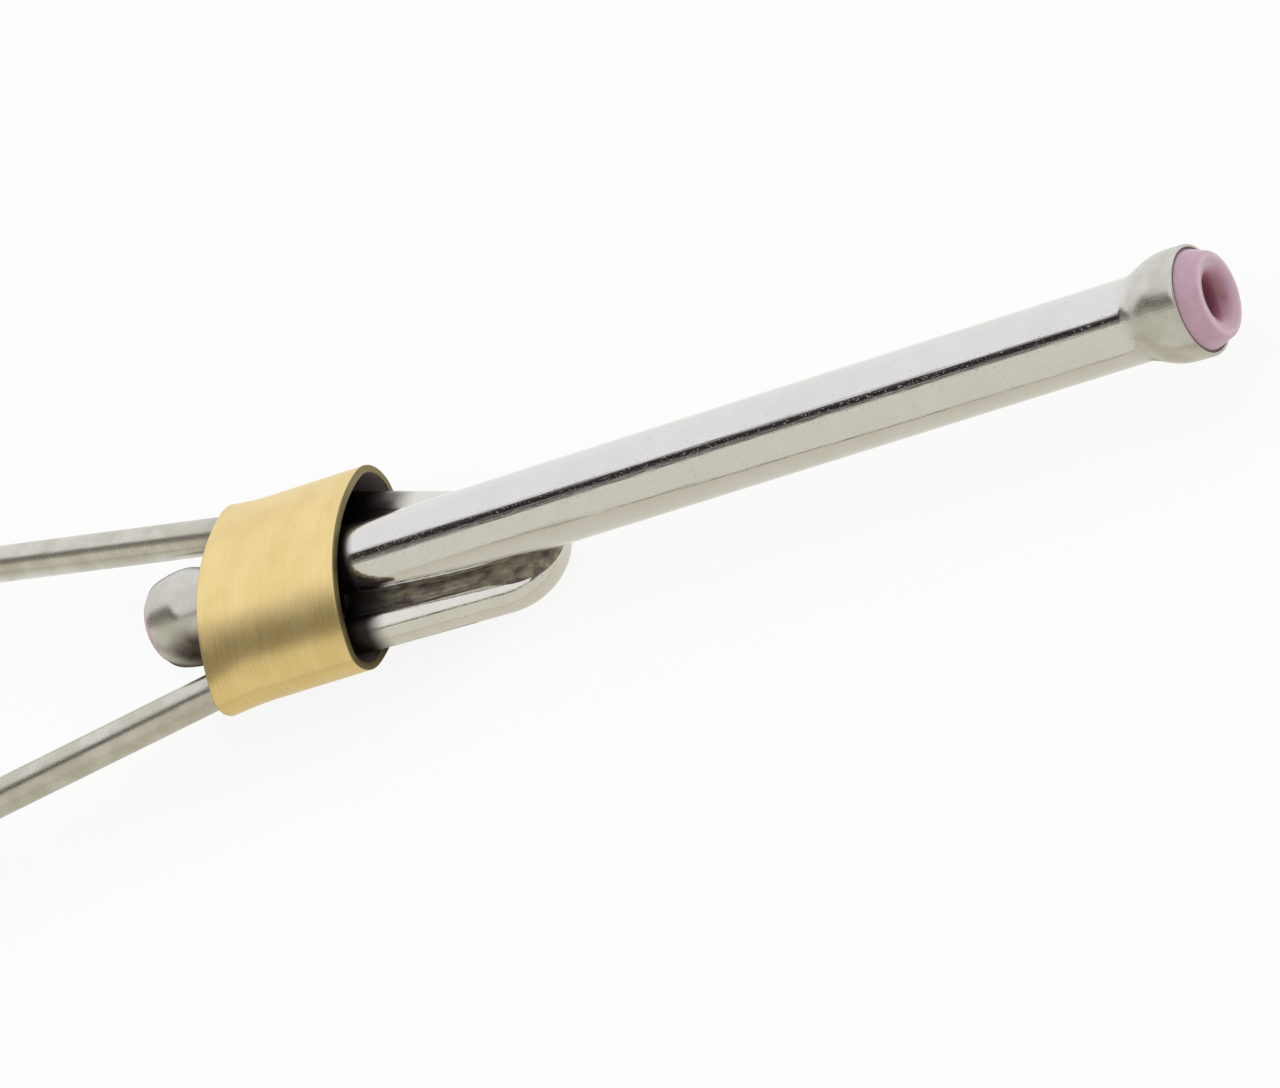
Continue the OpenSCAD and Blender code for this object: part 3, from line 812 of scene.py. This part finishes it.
# %% Strips that only reflections see
def reflected_strip(name, rows, depths, tint, shares=None):
    """A stage card from rows of points in mm. Each row has the same depths, times its own share."""
    shares = shares or [1.0] * len(rows)
    wide = len(depths)
    faces = [(wide * r + i, wide * r + i + 1, wide * r + i + 1 + wide, wide * r + i + wide)
             for r in range(len(rows) - 1) for i in range(wide - 1)]
    card = flat_card(name, [point for row in rows for point in row], faces)
    stored = card.data.attributes.new("depth", "FLOAT", "POINT")
    stored.data.foreach_set("value", [share * depth for share in shares for depth in depths])
    card.visible_camera = card.visible_diffuse = card.visible_shadow = False
    material, tree, _ = new_finish(name)
    depth = add(tree, "ShaderNodeAttribute", attribute_name="depth")
    clear = add(tree, "ShaderNodeBsdfTransparent")
    glow = add(tree, "ShaderNodeEmission", {"Color": linear(tint), "Strength": 1.0})
    fade = add(tree, "ShaderNodeMixShader", {0: depth.outputs["Fac"], 1: clear.outputs[0],
                                             2: glow.outputs[0]})
    add(tree, "ShaderNodeOutputMaterial", {"Surface": fade.outputs[0]})
    card.data.materials.append(material)
    print(f"{name}: {len(faces)} faces")


# %% The paper, its edge and the shadow under the tool
low = ground + 0.02      # each strip lies a hair above the one before
edge_line = [(300, -14), (60, -7.6), (0, -7.2), (-9.2, -7.7), (-18.8, -8.8), (-29.3, -12.8),
             (-43.5, -24.4), (-70, -62), (-133, -166), (-400, -620)]
edge_line = spaced([Vector((x, y, low)) for x, y in edge_line], 6)
reflected_strip("warm_paper", [[p, (p.x, 0.6 * p.y - 2.4, low), (p.x, 1.0, low)]
                               for p in edge_line], (1.0, 0.75, 0.0), "#d5cfbe")
widths = [0.028 * (8 + (p - Vector((-9, -7, low))).length) for p in edge_line]
reflected_strip("paper_edge", [[(p.x, p.y - w, low + 0.02), p + Vector((0, 0, 0.02)),
                                (p.x, p.y + w, low + 0.02)] for p, w in zip(edge_line, widths)],
                (0.2, 1.0, 0.4), "#65583f")
reflected_strip("tool_shadow", [[(x, y, low + 0.04) for y in (-3.4, -2.2, -0.9, 0.5, 1.7)]
                                for x in (-56, -51, -46, -41, -37)],
                (0.0, 0.95, 1.0, 0.95, 0.0), "#3b332f")

# %% [markdown]
# The wedge is placed by the angle at which a bar along X sees it: a point of the bar that is turned
# by some angle away from the lens mirrors what lies at twice that angle. Its lower edge is crisp,
# with two thin slits of light in it, and its upper edge fades.

# %% The dark wedge in the tent
toward = Vector((0, -0.628, 0.778))     # square to the tube, towards the lens
upward = Vector((0, 0.778, 0.628))      # square to both
tent_far, wedge_tip = 600, -93          # how far off the tent is, and X where the wedge starts


def around_tube(degrees, distance, along):
    """A point of the studio, by its angle about the tube from the lens upward."""
    a = math.radians(degrees)
    out = (toward * math.cos(a) + upward * math.sin(a)) * distance
    return Vector((along, out.y, out.z))


profile = ((0.0, 0.3), (0.04, 0.95), (0.11, 0.95), (0.13, 0.25), (0.16, 0.25), (0.18, 0.95),
           (0.26, 0.95), (0.28, 0.5), (0.31, 0.5), (0.33, 1.0), (0.8, 1.0), (0.9, 0.7), (1.0, 0.0))
depths = [depth for _, depth in profile]


def opening(first, last, start):
    """Rows of the wedge from step first to step last. Its lower edge is at start degrees, and its
    width in degrees grows with the distance from its tip."""
    rows = []
    for step in range(first, last + 1):
        along = wedge_tip - 1.2 * step - 1.4 * step ** 2
        width = min(45, 4 + 0.085 * (wedge_tip - along))
        rows.append([around_tube(start + (8 - start + width) * share, tent_far, along)
                     for share, _ in profile])
    return rows


reflected_strip("tent_opening", opening(0, 15, 4.8), depths, "#332d2e")
reflected_strip("brown_curtain", opening(15, 40, 8.0), depths, "#4f4228",
                [max(0.85, 1 - 0.05 * i) for i in range(26)])
reflected_strip("front_opening", [[Vector((-p.x, p.y, p.z)) for p in row]
                                  for row in opening(12, 40, 8.0)], depths, "#3c3637")
seam = [(-230, 0), (-190, 0.5), (-120, 0.85), (-60, 1), (0, 1), (120, 0.9), (420, 0)]
reflected_strip("tent_seam",
                [[around_tube(7.5 + wide, tent_far, along) for wide in (-4, -1.5, 1.5, 4)]
                 for along, _ in seam],
                (0.0, 0.95, 0.95, 0.0), "#493934", [share for _, share in seam])

# %% [markdown]
# The world is the tent's wall. Its two whites meet in a soft band behind the wedge. The camera
# sees plain white, and diffuse surfaces get a little less light than white, so that pale colours
# keep their own value. One big soft lamp overhead gives the tool a gentle shadow on the table.

# %% World and lamp
world = bpy.data.worlds.new("tent")
bpy.context.scene.world = world
world.use_nodes = True
tree = world.node_tree
tree.nodes.clear()
ray = add(tree, "ShaderNodeLightPath").outputs
way = add(tree, "ShaderNodeTexCoord").outputs["Generated"]
to_back = (0, 0.934, 0.357)      # square to the line where the two whites meet
rise = add(tree, "ShaderNodeVectorMath", {0: way, 1: to_back}, operation="DOT_PRODUCT")
back_half = ramp(tree, rise.outputs["Value"], -0.12, 0.12, soft=True)
tint = mixed(tree, ray["Is Camera Ray"], mixed(tree, back_half, "#e5e2d7", "#ffffff"), "#ffffff")
seen = greatest(tree, [ray["Is Camera Ray"], ray["Is Transmission Ray"], ray["Is Glossy Ray"]])
tent = add(tree, "ShaderNodeBackground",
           {"Color": tint, "Strength": ramp(tree, seen, 0.0, 1.0, 0.85, 1.0)})
add(tree, "ShaderNodeOutputWorld", {"Surface": tent.outputs[0]})


tool_middle = Vector((-45, 0, 0))


def soft_lamp(name, place, size, power, tint):
    """A square lamp at a place in mm that faces the tool's middle."""
    lamp = bpy.data.lights.new(name, "AREA")
    lamp.shape, lamp.size, lamp.energy, lamp.color = "SQUARE", size * MM, power, linear(tint)[:3]
    holder = bpy.data.objects.new(name, lamp)
    bpy.context.collection.objects.link(holder)
    holder.location = place * MM
    aim = (place - tool_middle).normalized()
    holder.rotation_mode = "QUATERNION"
    holder.rotation_quaternion = aim.to_track_quat("Z", "Y")
    return holder


top_lamp = soft_lamp("tent_top", around_tube(75, 700, -120), size=620, power=0.45, tint="#fbfcff")
top_lamp.visible_glossy = False
print("lamp at", [round(v, 3) for v in top_lamp.location])

# %% [markdown]
# ## The camera
# The photograph was taken with a long lens from a third of a metre away. Its place and turn come
# from fitting a pinhole camera to the tool's edges. The three rows below are the camera's right,
# up and back directions, and the lens is 239 mm on a 36 mm frame.

# %% Camera and colour view
right = Vector((0.82149, 0.07474, -0.56530))
up = Vector((0.25538, 0.83817, 0.48192))
back = right.cross(up)
lens = bpy.data.cameras.new("camera")
lens.lens, lens.sensor_width, lens.clip_start, lens.clip_end = 239.06, 36, 0.01, 20
camera = bpy.data.objects.new("camera", lens)
bpy.context.collection.objects.link(camera)
turn = Matrix((right, up, back)).transposed()
stand = Vector((149.75, -190.20, 231.49))      # the place of the lens in mm
camera.matrix_world = Matrix.Translation(stand * MM) @ turn.to_4x4()
scene = bpy.context.scene
scene.camera = camera
scene.view_settings.view_transform = "Standard"
